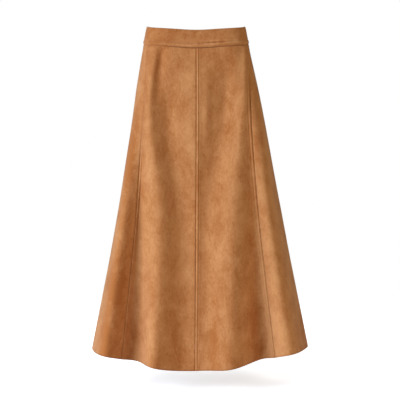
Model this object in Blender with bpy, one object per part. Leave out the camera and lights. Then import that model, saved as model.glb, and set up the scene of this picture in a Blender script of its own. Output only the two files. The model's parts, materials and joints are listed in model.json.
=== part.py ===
"""A midi a-line skirt in suede cloth: six flared gores on a waistband, closed by a zip.

The skirt is filled out as it hangs when worn, hollow from the waist to the hem.  Its front
faces -Y, the wearer's left is +X and +Z is up.  The origin is the middle of the waist, at
half the height of the waistband.  The gores are thin walls on one surface: a table says
where the seams and the folds' crests and valleys stand at each level, and every section is
a smooth closed curve through them.  The zip at the centre back is a concealed one: only
its pull hangs outside, from a slider whose bridge reaches out between the waistband's ends.
"""

import math

import bmesh
import bpy
import numpy as np

# ---------------------------------------------------------------- driving sizes, in metres

CLOTH = 0.0016                # wall of one gore
GAP = 0.0003                  # clearance between two pieces that meet
SKIRT_LENGTH = 0.820          # waist seam to hem, measured down the cloth
BAND_HEIGHT = 0.044           # waistband at the sides
BAND_WALL = 0.0030            # two layers of cloth and a stiffener
BAND_PROUD = 0.0005           # how far it stands out from the gores
BAND_SLIT = 0.0018            # between the waistband's ends at the centre back
SEAM_FRONT_DIP = 0.0095         # how far the waist seam drops at the centre front
SEAM_BACK_DIP = 0.010
TOP_FRONT_DIP = 0.008           # the same for the top edge of the waistband
TOP_BACK_DIP = 0.008
TOP_HALF_WIDTH = 0.1265       # the waistband's top edge, from the origin
TOP_FRONT_DEPTH = 0.078
TOP_BACK_DEPTH = 0.081

RIDGE_WIDTH = 0.0084          # a seam's allowance, pressed to one side and topstitched down
RIDGE_RISE = 0.0009           # how far the doubled cloth stands out beside the seam
HEM_TURN = 0.032              # hem allowance, turned up inside
HEM_EXTRA = 0.0011            # what the turned-up layer adds to the wall
HEM_STEP = 0.004              # the stretch over which the wall thickens

TAPE_WIDTH = 0.012            # the concealed zip: two tapes, a coil, a slider and its pull
TAPE_THICK = 0.0006
COIL_WIDTH = 0.0045
COIL_THICK = 0.0020
ZIP_TOP_DROP = 0.002          # the tapes' upper ends, below the waistband's top edge
ZIP_STEP = (0.001, 0.019)     # below the waist seam, where the zip moves out to the thin gore
ZIP_ROWS = 5                  # the zip ends level with this row of the gores
SLIDER = (0.0080, 0.0036, 0.0100)   # body inside the coil: across, deep and high
SLIDER_DROP = 0.0085          # its middle, below the top edge
BRIDGE_WIDTH = 0.0012         # the slider's bridge, which carries the pull
BRIDGE_REACH = 0.0010         # its inner faces, from the hinge
BRIDGE_THICK = 0.0008
BRIDGE_ROOT = 0.0010          # how deep it is sunk into the slider's body
PIN_OUT = 0.0011              # the hinge, outside the waistband
PULL_THICK = 0.0012
PULL_SLOT_WIDTH = 0.0020      # the slot that the bridge passes through
PULL_SLOT_ROW = 1             # it lies between this row of the pull's outline and the next

GORE_COLUMNS = 14             # strips across a gore
GORE_ROWS = 17                  # rows down a gore, above its hem
ROW_CROWD = 1.5                 # 1 would space them evenly
BAND_STEP = 4.5               # degrees round the waistband between two columns
SAMPLES = 60                  # points worked out between two lines of a section
NEAR = 0.001                  # distance to the points that a slope is measured between

# The waist seam is an oval a little squarer than an ellipse.
SEAM_HALF_WIDTH = 0.1352
SEAM_FRONT_DEPTH = 0.0850
SEAM_BACK_DEPTH = 0.0880
WAIST_SQUARENESS = 4.2        # 2 would be an ellipse

# Lines that run down the cloth, in order round the skirt from the centre front to the
# wearer's left: the crest and valley of each hanging fold, and the seams.  Each gives its
# bearing at the waist seam in degrees, then where it stands, (x, y) in millimetres, at the
# hip, knee and hem levels, and how much the cut of the hem rises there.
LEVELS = (0.0, 0.14, 0.40, SKIRT_LENGTH)
LINES = (
    # name                  waist  hip         knee          hem           rise
    ("seam_centre_front",  0.5,  (1, -98),     (0, -120),    (-3, -126),   -6),
    ("front_dip_left",     38,   (76, -85),    (38, -116),   (38, -132),   -4),
    ("front_crest_left",   53,   (113, -92),   (95, -141),   (91, -154),   0),
    ("front_valley_left",  62,   (128, -86),   (142, -119),  (164, -95),   13),
    ("seam_front_left",    69,   (137, -83),   (155, -119),  (203, -112),  16),
    ("side_crest_left",    79,   (154, -73),   (184, -121),  (244, -144),  19),
    ("side_left",          92,   (164, 5),     (211, 0),     (292, 2),     14),
    ("side_dip_left",      103,  (160, 38),    (201, 42),    (272, 50),    11),
    ("hind_crest_left",    113,  (156, 62),    (197, 82),    (268, 98),    9),
    ("seam_back_left",     126,  (136, 91),    (165, 106),   (215, 112),   6),
    ("back_valley_left",   134,  (118, 108),   (138, 118),   (178, 118),   4),
    ("back_crest_left",    149,  (78, 132),    (96, 160),    (116, 204),   1),
    ("seam_centre_back",   180,  (2, 137),     (4, 158),     (6, 192),     0),
    ("back_crest_right",   209,  (-74, 132),   (-92, 162),   (-106, 208),  1),
    ("back_valley_right",  225,  (-112, 110),  (-132, 120),  (-168, 124),  4),
    ("seam_back_right",    233,  (-129, 94),   (-158, 106),  (-205, 110),  6),
    ("hind_crest_right",   246,  (-149, 63),   (-183, 86),   (-255, 104),  8),
    ("side_dip_right",     257,  (-153, 38),   (-187, 46),   (-254, 56),   11),
    ("side_right",         268,  (-158, 5),    (-194, 0),    (-273, 0),    13),
    ("side_crest_right",   287,  (-151, -49),  (-180, -115), (-236, -148), 19),
    ("seam_front_right",   297,  (-134, -78),  (-150, -107), (-192, -116), 13),
    ("front_valley_right", 302,  (-129, -87),  (-140, -106), (-150, -100), 8),
    ("front_crest_right",  309,  (-118, -98),  (-96, -136),  (-114, -160), 5),
    ("front_dip_right",    321,  (-80, -89),   (-46, -118),  (-52, -131),  -4),
)
SEAMS = [i for i, line in enumerate(LINES) if line[0].startswith("seam")]
CENTRE_FRONT, FRONT_LEFT, BACK_LEFT, CENTRE_BACK, BACK_RIGHT, FRONT_RIGHT = range(6)

# The gores: name, the seam each starts at, and whether its edge there and its far edge
# carry the topstitched ridge of the seam allowance.
GORES = (
    ("front_gore_left",  CENTRE_FRONT, True,  True),
    ("side_gore_left",   FRONT_LEFT,   False, False),
    ("back_gore_left",   BACK_LEFT,    True,  False),
    ("back_gore_right",  CENTRE_BACK,  False, True),
    ("side_gore_right",  BACK_RIGHT,   False, False),
    ("front_gore_right", FRONT_RIGHT,  True,  False),
)

# The doubled cloth of a topstitched seam: share of the ridge's width from the seam, and
# share of its rise there.
RIDGE = ((0.0, 0.5), (0.45, 1.0), (0.8, 0.7), (1.0, 0.0))
FLAT_EDGE = ((0.0, 0.0), (1.0, 0.0))

# The pull's outline: height from the hinge and half width there, both in millimetres.
PULL = ((0.6, 1.9), (-0.6, 2.2), (-3.0, 2.3), (-5.0, 2.3), (-9.0, 2.7), (-14.0, 3.3),
        (-18.0, 3.6), (-21.0, 3.2), (-23.0, 2.2), (-24.0, 1.0))

# The waistband's outer face: height above the waist seam, and how far it stands out there.
# It is puffed along the seam, pressed in by the stitching above it, and rolls over the top.
BAND_PROFILE = ((44.0, -0.7), (42.8, 0.2), (38.0, 0.5), (13.0, 0.5), (10.6, 0.0), (8.5, 0.9),
                (4.0, 1.3), (0.8, 0.9), (0.0, 0.3))

SUEDE = ("suede", (0.43, 0.20, 0.085, 1.0), 0.95, 0.0)
ZIP_TAPE = ("zip_tape", (0.16, 0.075, 0.035, 1.0), 0.85, 0.0)
ZIP_COIL = ("zip_coil", (0.13, 0.060, 0.030, 1.0), 0.45, 0.0)
ZIP_METAL = ("zip_metal", (0.36, 0.17, 0.075, 1.0), 0.35, 0.0)


# ---------------------------------------------------------------- the hanging surface

def waist_oval(angle, half, front, back):
    """Points of the waist at bearings from the centre front, turning to +X: a superellipse."""
    depth = np.where(np.cos(angle) > 0, front, back)
    n = WAIST_SQUARENESS
    radius = (np.abs(np.sin(angle) / half) ** n + np.abs(np.cos(angle) / depth) ** n) ** (-1 / n)
    return radius[:, None] * np.stack([np.sin(angle), -np.cos(angle)], -1)


def lines_at(down):
    """Where every line of the cloth stands at one distance below the waist seam."""
    bearing = np.radians([line[1] for line in LINES])
    waist = waist_oval(bearing, SEAM_HALF_WIDTH, SEAM_FRONT_DEPTH, SEAM_BACK_DEPTH)
    stations = np.array([line[2:5] for line in LINES], float) / 1000
    stations = np.concatenate([waist[:, None], stations], 1)
    levels = np.asarray(LEVELS)
    slope = np.gradient(stations, levels, axis=1)
    i = int(np.clip(np.searchsorted(levels, down) - 1, 0, len(levels) - 2))
    width = levels[i + 1] - levels[i]
    t = (down - levels[i]) / width
    return ((1 + 2 * t) * (1 - t) ** 2 * stations[:, i] + t * (1 - t) ** 2 * width * slope[:, i]
            + t * t * (3 - 2 * t) * stations[:, i + 1]
            + t * t * (t - 1) * width * slope[:, i + 1])


def closed_curve(points, samples):
    """A smooth closed curve through points: the periodic cubic whose bend never jumps.
    Its parameter grows by the square root of each chord, which keeps short spans tame."""
    step = np.sqrt(np.linalg.norm((np.roll(points, -1, 0) - points)[:, :2], axis=1))
    before = np.roll(step, 1)
    rate = (np.roll(points, -1, 0) - points) / step[:, None]
    count = len(points)
    matrix = np.zeros((count, count))
    row = np.arange(count)
    matrix[row, row - 1] = step
    matrix[row, row] = 2 * (step + before)
    matrix[row, (row + 1) % count] = before
    target = 3 * (step[:, None] * np.roll(rate, 1, 0) + before[:, None] * rate)
    slope = np.linalg.solve(matrix, target)
    t = np.linspace(0, 1, samples, endpoint=False)[None, :, None]
    h = step[:, None, None]
    p, q = points[:, None], np.roll(points, -1, 0)[:, None]
    m, k = slope[:, None], np.roll(slope, -1, 0)[:, None]
    curve = ((1 + 2 * t) * (1 - t) ** 2 * p + t * (1 - t) ** 2 * h * m
             + t * t * (3 - 2 * t) * q + t * t * (t - 1) * h * k)
    return curve.reshape(len(points) * samples, -1)


def ring(down, gore, share, offset):
    """Points of one section, share of the way across a gore plus an offset along the cloth:
    x, y and the rise of the hem there."""
    rise = np.array([line[5] for line in LINES], float) / 1000
    curve = closed_curve(np.column_stack([lines_at(down), rise]), SAMPLES)
    curve = np.concatenate([curve[-SAMPLES:], curve, curve[:SAMPLES]])
    step = np.linalg.norm(np.diff(curve[:, :2], axis=0), axis=1)
    along = np.concatenate([[0], np.cumsum(step)])
    starts = along[[(1 + i) * SAMPLES for i in SEAMS + [len(LINES)]]]
    target = starts[gore] + share * (starts[gore + 1] - starts[gore]) + offset
    return np.stack([np.interp(target, along, curve[:, axis]) for axis in range(3)], -1)


def waist_dip(xy, front_dip, back_dip):
    """How far the waist drops towards the centre front and the centre back."""
    toward = -xy[..., 1] / np.hypot(xy[..., 0], xy[..., 1])
    return np.where(toward > 0, front_dip, back_dip) * toward ** 2


def surface(gore, share, offset, down):
    """Outer face of the cloth.  Each line down it keeps its length, so a fold that stands
    out further lifts the hem a little: drop = sqrt(length squared - way out squared)."""
    top = ring(0.0, gore, share, offset)[:, :2]
    points = []
    for level in down:
        section = ring(max(level, 0.0), gore, share, offset)
        xy, rise = section[:, :2], section[:, 2]
        away = np.linalg.norm(xy - top, axis=-1)
        length = level - rise * np.clip(level / SKIRT_LENGTH, 0, 1) ** 2
        drop = np.sqrt(np.maximum(length ** 2 - away ** 2, 0)) * math.copysign(1, level)
        z = -BAND_HEIGHT / 2 - waist_dip(top, SEAM_FRONT_DIP, SEAM_BACK_DIP) - drop
        points.append(np.concatenate([xy, z[:, None]], -1))
    return np.array(points)


def outward(below, across):
    """Unit normals from the ways down the cloth and round it, turning to +X from the front."""
    normal = np.cross(below, across)
    return normal / np.linalg.norm(normal, axis=-1, keepdims=True)


def gore_face(gore, share, offset, down):
    """Points and outward normals on the cloth, in rows down it."""
    across = (surface(gore, share, offset + NEAR, down)
              - surface(gore, share, offset - NEAR, down))
    below = (surface(gore, share, offset, np.add(down, NEAR))
             - surface(gore, share, offset, np.subtract(down, NEAR)))
    return surface(gore, share, offset, down), outward(below, across)


def band(angle, height):
    """The waistband's plain face, before its profile: an oval that narrows to the top edge."""
    t = height / BAND_HEIGHT
    xy = waist_oval(angle, SEAM_HALF_WIDTH + (TOP_HALF_WIDTH - SEAM_HALF_WIDTH) * t,
                    SEAM_FRONT_DEPTH + (TOP_FRONT_DEPTH - SEAM_FRONT_DEPTH) * t,
                    SEAM_BACK_DEPTH + (TOP_BACK_DEPTH - SEAM_BACK_DEPTH) * t)
    seam = -BAND_HEIGHT / 2 - waist_dip(xy, SEAM_FRONT_DIP, SEAM_BACK_DIP)
    top = BAND_HEIGHT / 2 - waist_dip(xy, TOP_FRONT_DIP, TOP_BACK_DIP)
    return np.column_stack([xy, seam + (top - seam) * t])


def band_face(angle, height):
    """Points and outward normals on the waistband's plain face, in rows of one height."""
    turn = NEAR / SEAM_FRONT_DEPTH
    across = np.array([band(angle + turn, h) - band(angle - turn, h) for h in height])
    below = np.array([band(angle, h - NEAR) - band(angle, h + NEAR) for h in height])
    return np.array([band(angle, h) for h in height]), outward(below, across)


# ---------------------------------------------------------------- solids from walls

def closed_wall(outer, inner):
    """Faces of a wall between two grids of the same shape, with its four edges closed."""
    rows, columns = outer.shape[:2]
    size = rows * columns
    index = np.arange(size).reshape(rows, columns)
    a, b, c, d = index[:-1, :-1], index[1:, :-1], index[1:, 1:], index[:-1, 1:]
    faces = [np.stack([a, b, c, d], -1).reshape(-1, 4),
             np.stack([d, c, b, a], -1).reshape(-1, 4) + size]
    rim = np.concatenate([index[0, :-1], index[:-1, -1], index[-1, :0:-1], index[:0:-1, 0]])
    after = np.roll(rim, -1)
    faces.append(np.stack([rim, after, after + size, rim + size], -1))
    return np.concatenate([outer.reshape(-1, 3), inner.reshape(-1, 3)]), np.concatenate(faces)


def material(name, colour, roughness, metallic):
    made = bpy.data.materials.get(name)
    if made is None:
        made = bpy.data.materials.new(name)
        made.use_nodes = True
        shader = made.node_tree.nodes["Principled BSDF"]
        shader.inputs["Base Color"].default_value = colour
        shader.inputs["Roughness"].default_value = roughness
        shader.inputs["Metallic"].default_value = metallic
    return made


def add_object(name, points, faces, finish):
    mesh = bpy.data.meshes.new(name)
    mesh.from_pydata([tuple(p) for p in points], [], [tuple(int(i) for i in f) for f in faces])
    edit = bmesh.new()
    edit.from_mesh(mesh)
    bmesh.ops.recalc_face_normals(edit, faces=edit.faces)
    edit.to_mesh(mesh)
    edit.free()
    mesh.shade_smooth()
    mesh.set_sharp_from_angle(angle=math.radians(40))
    mesh.materials.append(material(*finish))
    made = bpy.data.objects.new(name, mesh)
    bpy.context.scene.collection.objects.link(made)
    return made


# ---------------------------------------------------------------- the pieces

def gore_columns(ridge_at_start, ridge_at_end):
    """Columns across a gore: share of its width, offset in metres, and rise of the cloth."""
    start = [(0.0, GAP / 2 + RIDGE_WIDTH * at, RIDGE_RISE * rise)
             for at, rise in (RIDGE if ridge_at_start else FLAT_EDGE)]
    end = [(1.0, -GAP / 2 - RIDGE_WIDTH * at, RIDGE_RISE * rise)
           for at, rise in reversed(RIDGE if ridge_at_end else FLAT_EDGE)]
    middle = [(i / GORE_COLUMNS, 0.0, 0.0) for i in range(1, GORE_COLUMNS)]
    return np.array(start + middle + end).T


def gore_rows():
    """Distances down a gore, and the wall there.  The rows are closest where the folds start,
    and the hem allowance thickens the last ones."""
    body = np.linspace(0, 1, GORE_ROWS) ** ROW_CROWD * (SKIRT_LENGTH - HEM_TURN - HEM_STEP) + GAP
    hem = SKIRT_LENGTH - HEM_TURN * np.array([1.0, 0.5, 0.0])
    down = np.concatenate([body, hem])
    wall = np.concatenate([np.full(len(body), CLOTH), np.full(len(hem), CLOTH + HEM_EXTRA)])
    return down, wall


def make_gore(name, seam, ridge_at_start, ridge_at_end):
    share, offset, rise = gore_columns(ridge_at_start, ridge_at_end)
    down, wall = gore_rows()
    face, normal = gore_face(seam, share, offset, down)
    normal[0, :, 2] = 0                     # the edges that meet at the waist seam are level
    outer = face + normal * rise[None, :, None]
    inner = face - normal * wall[:, None, None]
    return add_object(name, *closed_wall(outer, inner), SUEDE)


def make_band(name, start, end, start_gap, end_gap):
    """One length of the waistband, between two bearings in degrees, clear of its ends."""
    edge = np.radians([start, end])
    radius = np.linalg.norm(band(edge, 0.0)[:, :2], axis=1)
    edge += np.array([start_gap, -end_gap]) / radius
    angle = np.linspace(*edge, int(round((end - start) / BAND_STEP)) + 1)
    height, rise = np.array(BAND_PROFILE).T / 1000
    face, normal = band_face(angle, height)
    normal[-1, :, 2] = 0
    outer = face + normal * rise[:, None, None]
    inner = face - normal * (BAND_WALL - BAND_PROUD)
    return add_object(name, *closed_wall(outer, inner), SUEDE)


def zip_strip(name, left, right, start, near, thick, finish):
    """A strip of the zip behind the centre-back seam, from left to right of it in metres.
    It starts at a distance below the waist seam, negative on the band, and shares the
    gores' rows, so that it stays clear of their flat facets."""
    x = np.linspace(left, right, 3)
    down = np.concatenate([np.linspace(start, -GAP, 4), gore_rows()[0][:ZIP_ROWS]])
    on_band = down < 0
    upper = band_face(math.pi - x / SEAM_BACK_DEPTH, -down[on_band])
    lower = gore_face(CENTRE_BACK, 0.0 * x, -x, down[~on_band])
    face, normal = (np.concatenate(pair) for pair in zip(upper, lower))
    step = np.interp(down, ZIP_STEP, (0, 1))          # the waistband is thicker than a gore
    behind = (BAND_WALL - BAND_PROUD) * (1 - step) + CLOTH * step + GAP + near
    depth = behind[:, None, None]
    return add_object(name, *closed_wall(face - normal * depth,
                                         face - normal * (depth + thick)), finish)


def slider_seat():
    """Where the pull's hinge is, outside the band at the centre back, and the band's lean."""
    face, normal = band_face(np.array([math.pi]), [BAND_HEIGHT - SLIDER_DROP])
    out = normal[0, 0]
    return face[0, 0] + out * (BAND_PROUD + PIN_OUT), math.atan2(out[2], out[1])


def block(x, y, z):
    """Corners and faces of a block between pairs of coordinates."""
    points = [(a, b, c) for a in x for b in y for c in z]
    faces = [(0, 1, 3, 2), (4, 6, 7, 5), (0, 4, 5, 1), (2, 3, 7, 6), (0, 2, 6, 4), (1, 5, 7, 3)]
    return points, faces


def make_slider():
    """The slider's body inside the zip, and the bridge it sends out between the band's ends."""
    pin, lean = slider_seat()
    wide, deep, high = SLIDER
    front = -PIN_OUT - BAND_WALL - GAP - TAPE_THICK - GAP
    body = add_object("zip_slider", *block((-wide / 2, wide / 2), (front - deep, front),
                                           (-high / 2, high / 2)), ZIP_METAL)
    inner, outer = BRIDGE_REACH, BRIDGE_REACH + BRIDGE_THICK
    root = front - BRIDGE_ROOT
    outline = ((root, inner), (inner, inner), (inner, -inner), (root, -inner),
               (root, -outer), (outer, -outer), (outer, outer), (root, outer))
    half = BRIDGE_WIDTH / 2
    points = [(x, y, z) for x in (-half, half) for y, z in outline]
    count = len(outline)
    faces = [tuple(range(count)), tuple(range(2 * count - 1, count - 1, -1))]
    faces += [(i, i + count, (i + 1) % count + count, (i + 1) % count) for i in range(count)]
    bridge = add_object("guide_bridge", points, faces, ZIP_METAL)
    bridge.hide_render = True
    bridge.display_type = "WIRE"
    for piece in (body, bridge):
        piece.location = pin
        piece.rotation_euler.x = lean
    joined = body.modifiers.new("bridge", "BOOLEAN")
    joined.operation = "UNION"
    joined.object = bridge


def make_pull():
    """The pull: a flat drop with a slot that the slider's bridge passes through."""
    pin, lean = slider_seat()
    edit = bmesh.new()
    rows = []
    for height, wide in np.array(PULL) / 1000:
        slot = min(PULL_SLOT_WIDTH, wide) / 2
        rows.append([edit.verts.new((x, -PULL_THICK / 2, height))
                     for x in (-wide, -slot, slot, wide)])
    for row, (upper, lower) in enumerate(zip(rows, rows[1:])):
        for i in (0, 2) if row == PULL_SLOT_ROW else (0, 1, 2):
            edit.faces.new((upper[i], lower[i], lower[i + 1], upper[i + 1]))
    grown = bmesh.ops.extrude_face_region(edit, geom=list(edit.faces))
    moved = [v for v in grown["geom"] if isinstance(v, bmesh.types.BMVert)]
    bmesh.ops.translate(edit, verts=moved, vec=(0, PULL_THICK, 0))
    bmesh.ops.recalc_face_normals(edit, faces=edit.faces)
    mesh = bpy.data.meshes.new("zip_pull")
    edit.to_mesh(mesh)
    edit.free()
    mesh.materials.append(material(*ZIP_METAL))
    pull = bpy.data.objects.new("zip_pull", mesh)
    pull.location = pin
    pull.rotation_euler.x = lean
    bpy.context.scene.collection.objects.link(pull)


for existing in list(bpy.data.objects):
    bpy.data.objects.remove(existing)

for row in GORES:
    make_gore(*row)

make_band("waistband_front", -90, 90, GAP / 2, GAP / 2)
make_band("waistband_back_left", 90, 180, GAP / 2, BAND_SLIT / 2)
make_band("waistband_back_right", 180, 270, BAND_SLIT / 2, GAP / 2)

zip_top = ZIP_TOP_DROP - BAND_HEIGHT
zip_strip("zip_tape_left", BAND_SLIT / 2, BAND_SLIT / 2 + TAPE_WIDTH, zip_top, 0.0,
          TAPE_THICK, ZIP_TAPE)
zip_strip("zip_tape_right", -BAND_SLIT / 2 - TAPE_WIDTH, -BAND_SLIT / 2, zip_top, 0.0,
          TAPE_THICK, ZIP_TAPE)
zip_strip("zip_coil", -COIL_WIDTH / 2, COIL_WIDTH / 2,
          -BAND_HEIGHT + SLIDER_DROP + SLIDER[2] / 2 + GAP, TAPE_THICK + GAP, COIL_THICK,
          ZIP_COIL)
make_slider()
make_pull()
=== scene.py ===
"""A midi a-line skirt in suede cloth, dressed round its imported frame.

Six flared gores hang from a stiffened waistband.  The seams of the gores are pressed to one
side and topstitched, and a concealed zip closes the centre back.  Lengths are in metres
unless a table's heading says millimetres; the front faces -Y and the wearer's left is +X.
"""

import json
import math

import bpy
import numpy as np
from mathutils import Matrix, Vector


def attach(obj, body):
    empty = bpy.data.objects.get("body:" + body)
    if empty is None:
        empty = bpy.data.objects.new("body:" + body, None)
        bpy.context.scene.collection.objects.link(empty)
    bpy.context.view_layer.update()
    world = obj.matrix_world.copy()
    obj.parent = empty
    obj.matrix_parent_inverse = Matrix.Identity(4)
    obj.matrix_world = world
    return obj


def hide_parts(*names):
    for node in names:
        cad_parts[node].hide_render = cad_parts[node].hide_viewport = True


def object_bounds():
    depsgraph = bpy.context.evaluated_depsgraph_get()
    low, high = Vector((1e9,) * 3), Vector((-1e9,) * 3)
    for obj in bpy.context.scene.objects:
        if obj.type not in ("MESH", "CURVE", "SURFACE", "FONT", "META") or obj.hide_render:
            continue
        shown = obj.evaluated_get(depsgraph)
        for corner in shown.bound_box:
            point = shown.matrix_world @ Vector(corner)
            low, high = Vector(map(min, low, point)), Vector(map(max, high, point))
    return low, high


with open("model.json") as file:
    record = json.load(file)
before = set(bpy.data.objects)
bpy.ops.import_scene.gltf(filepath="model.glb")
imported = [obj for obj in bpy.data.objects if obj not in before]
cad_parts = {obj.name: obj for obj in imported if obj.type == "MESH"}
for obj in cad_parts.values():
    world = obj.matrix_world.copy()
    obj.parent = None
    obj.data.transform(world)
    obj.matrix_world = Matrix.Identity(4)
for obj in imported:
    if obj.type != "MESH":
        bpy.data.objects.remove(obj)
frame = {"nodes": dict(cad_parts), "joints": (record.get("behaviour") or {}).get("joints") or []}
cad_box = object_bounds()


# ------------------------------------------------------------------ the studio
# A camera at chest height looks a little down on the skirt.  A soft key light stands to the
# left, a weaker and broader fill to the right and a light for the back behind it, over a
# pale floor that fades into white.

CAMERA_AT = (0.010, -3.85, 0.018)
CAMERA_TILT = 6.62                    # degrees below the horizon
CAMERA_LENS, CAMERA_SENSOR = 133.33, 36.0     # millimetres
LIGHT_AIM = (0.0, 0.0, -0.40)
LIGHTS = (
    # name        place                  size  watts  colour
    ("key",       (-3.35, -2.00, 0.60),  2.6,  203.0, (0.89, 1.0, 1.20)),
    ("fill",      (3.2, -2.3, 0.20),     3.0,  54.0,  (1.0, 0.82, 0.56)),
    ("back",      (-0.2, 4.0, 0.9),      2.0,  110.0, (0.95, 1.0, 1.05)),
)
ROOM_LIGHT, ROOM_COLOUR = 0.135, (1, 0.85, 0.64, 1)
FLOOR_DROP = 0.05                     # the floor, below the hem
FLOOR_RADIUS, FLOOR_SIDES = 1.6, 64
FLOOR_FADE = (0.55, 1.55)             # radii between which it fades away
FLOOR_GLOW = 0.62                     # lifts the paper to near white for the camera
PAPER_COLOUR = (0.93, 0.93, 0.94, 1)
WHITE = (1, 1, 1, 1)


def add_object(name, data):
    """An object in the scene that holds a camera, a light or a mesh."""
    made = bpy.data.objects.new(name, data)
    bpy.context.scene.collection.objects.link(made)
    return made


camera = add_object("camera", bpy.data.cameras.new("camera"))
camera.data.lens = CAMERA_LENS
camera.data.sensor_width = CAMERA_SENSOR
camera.location = CAMERA_AT
camera.rotation_euler = (math.radians(90 - CAMERA_TILT), 0, 0)
bpy.context.scene.camera = camera
bpy.context.scene.view_settings.view_transform = "Standard"

for name, place, size, watts, colour in LIGHTS:
    light = add_object(name, bpy.data.lights.new(name, "AREA"))
    light.data.shape = "DISK"
    light.data.size = size
    light.data.energy = watts
    light.data.color = colour
    light.location = place
    light.rotation_euler = (Vector(LIGHT_AIM) - Vector(place)).to_track_quat("-Z", "Y").to_euler()


def node(tree, kind, values=(), **settings):
    """A node of a tree with some of its sockets' values and its settings filled in."""
    made = tree.nodes.new("ShaderNode" + kind)
    for setting, value in settings.items():
        setattr(made, setting, value)
    for socket, value in dict(values).items():
        made.inputs[socket].default_value = value
    return made


def wire(tree, *links):
    """Links of a tree: each from a node's output to another node's input."""
    for source, output, target, socket in links:
        tree.links.new(source.outputs[output], target.inputs[socket])


def new_finish(name, values):
    """A material with some of its shader's values filled in, its tree and its shader."""
    made = bpy.data.materials.new(name)
    made.use_nodes = True
    shader = made.node_tree.nodes["Principled BSDF"]
    for socket, value in values.items():
        shader.inputs[socket].default_value = value
    return made, made.node_tree, shader


def white_room():
    """White to the camera, and a weak even light on everything else."""
    world = bpy.data.worlds.new("white_room")
    bpy.context.scene.world = world
    world.use_nodes = True
    tree = world.node_tree
    tree.nodes.clear()
    even = node(tree, "Background", {"Color": ROOM_COLOUR, "Strength": ROOM_LIGHT})
    seen = node(tree, "Background", {"Color": WHITE, "Strength": 1.0})
    path = node(tree, "LightPath")
    mix = node(tree, "MixShader")
    wire(tree, (path, "Is Camera Ray", mix, 0), (even, 0, mix, 1), (seen, 0, mix, 2),
         (mix, 0, node(tree, "OutputWorld"), "Surface"))


def full_turn(count):
    """Bearings spread evenly round a full turn."""
    return np.linspace(0, 2 * math.pi, count, endpoint=False)


def pale_floor():
    """A round floor whose paper fades to nothing: alpha falls smoothly from 1 to 0 between
    the fade's two radii."""
    turn = full_turn(FLOOR_SIDES)
    height = cad_box[0][2] - FLOOR_DROP
    rim = np.column_stack([FLOOR_RADIUS * np.cos(turn), FLOOR_RADIUS * np.sin(turn),
                           np.full(FLOOR_SIDES, height)])
    mesh = bpy.data.meshes.new("floor")
    mesh.from_pydata(rim.tolist(), [], [list(range(FLOOR_SIDES))])
    paper, tree, shader = new_finish("floor_paper", {"Base Color": PAPER_COLOUR, "Roughness": 0.9,
                                                     "Emission Color": WHITE})
    place = node(tree, "TexCoord")
    flat = node(tree, "VectorMath", {1: (1, 1, 0)}, operation="MULTIPLY")
    far = node(tree, "VectorMath", operation="LENGTH")
    fade = node(tree, "MapRange", {"From Min": FLOOR_FADE[0], "From Max": FLOOR_FADE[1],
                                   "To Min": 1.0, "To Max": 0.0}, interpolation_type="SMOOTHSTEP")
    path = node(tree, "LightPath")
    glow = node(tree, "Math", {1: FLOOR_GLOW}, operation="MULTIPLY")
    wire(tree, (place, "Object", flat, 0), (flat, 0, far, 0), (far, "Value", fade, "Value"),
         (fade, 0, shader, "Alpha"), (path, "Is Camera Ray", glow, 0),
         (glow, 0, shader, "Emission Strength"))
    mesh.materials.append(paper)
    add_object("floor", mesh)


white_room()
pale_floor()


# ------------------------------------------------------------------ the suede cloth
# A faux suede: a close knit with a short brushed nap, camel brown, matt, with a soft bloom
# where it turns from the eye.  Its back is plain.  The nap lies in lighter and darker clouds.

# Painted shade darkens the cloth in its seams' grooves, along the waist seam and at the hem's
# edge, and patches of painted light and shade lie on its nap.
SUEDE_LIGHT = (0.600, 0.272, 0.099, 1)
SUEDE_DARK = (0.404, 0.133, 0.031, 1)
SUEDE_PAINTED_SHADE = (0.17, 0.050, 0.012, 1)        # painted shade: down in a seam, along the waist seam and at the hem's edge
SUEDE_BACK_LIGHT = (0.40, 0.19, 0.085, 1)
SUEDE_BACK_DARK = (0.34, 0.155, 0.066, 1)
SUEDE_SHEEN, SUEDE_SHEEN_SPREAD = 0.38, 0.5
SUEDE_SHEEN_TINT = (1.0, 0.84, 0.62, 1)
NAP_STRETCH = (1.0, 0.62, 1.0)                # the nap's patches lie along the cloth
NAP_NOISES = (
    # per metre, detail, roughness, distortion, weight
    (27.0,   3.0, 0.55, 0.4, 1.7),            # clouds
    (88.0,   3.0, 0.6,  1.0, 0.85),           # smudges
    (240.0,  3.0, 0.6,  0.6, 0.9),            # specks
    (1900.0, 2.0, 0.6,  0.0, 0.3),            # fibres
)
SMUDGE_RELIEF = 0.35                          # beside the fibres' 1


def new_group(name, inputs, outputs):
    """An empty shader group with its input and output nodes."""
    group = bpy.data.node_groups.new(name, "ShaderNodeTree")
    for socket, kind in inputs.items():
        group.interface.new_socket(socket, in_out="INPUT", socket_type="NodeSocket" + kind)
    for socket, kind in outputs.items():
        group.interface.new_socket(socket, in_out="OUTPUT", socket_type="NodeSocket" + kind)
    return group, group.nodes.new("NodeGroupInput"), group.nodes.new("NodeGroupOutput")


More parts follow.
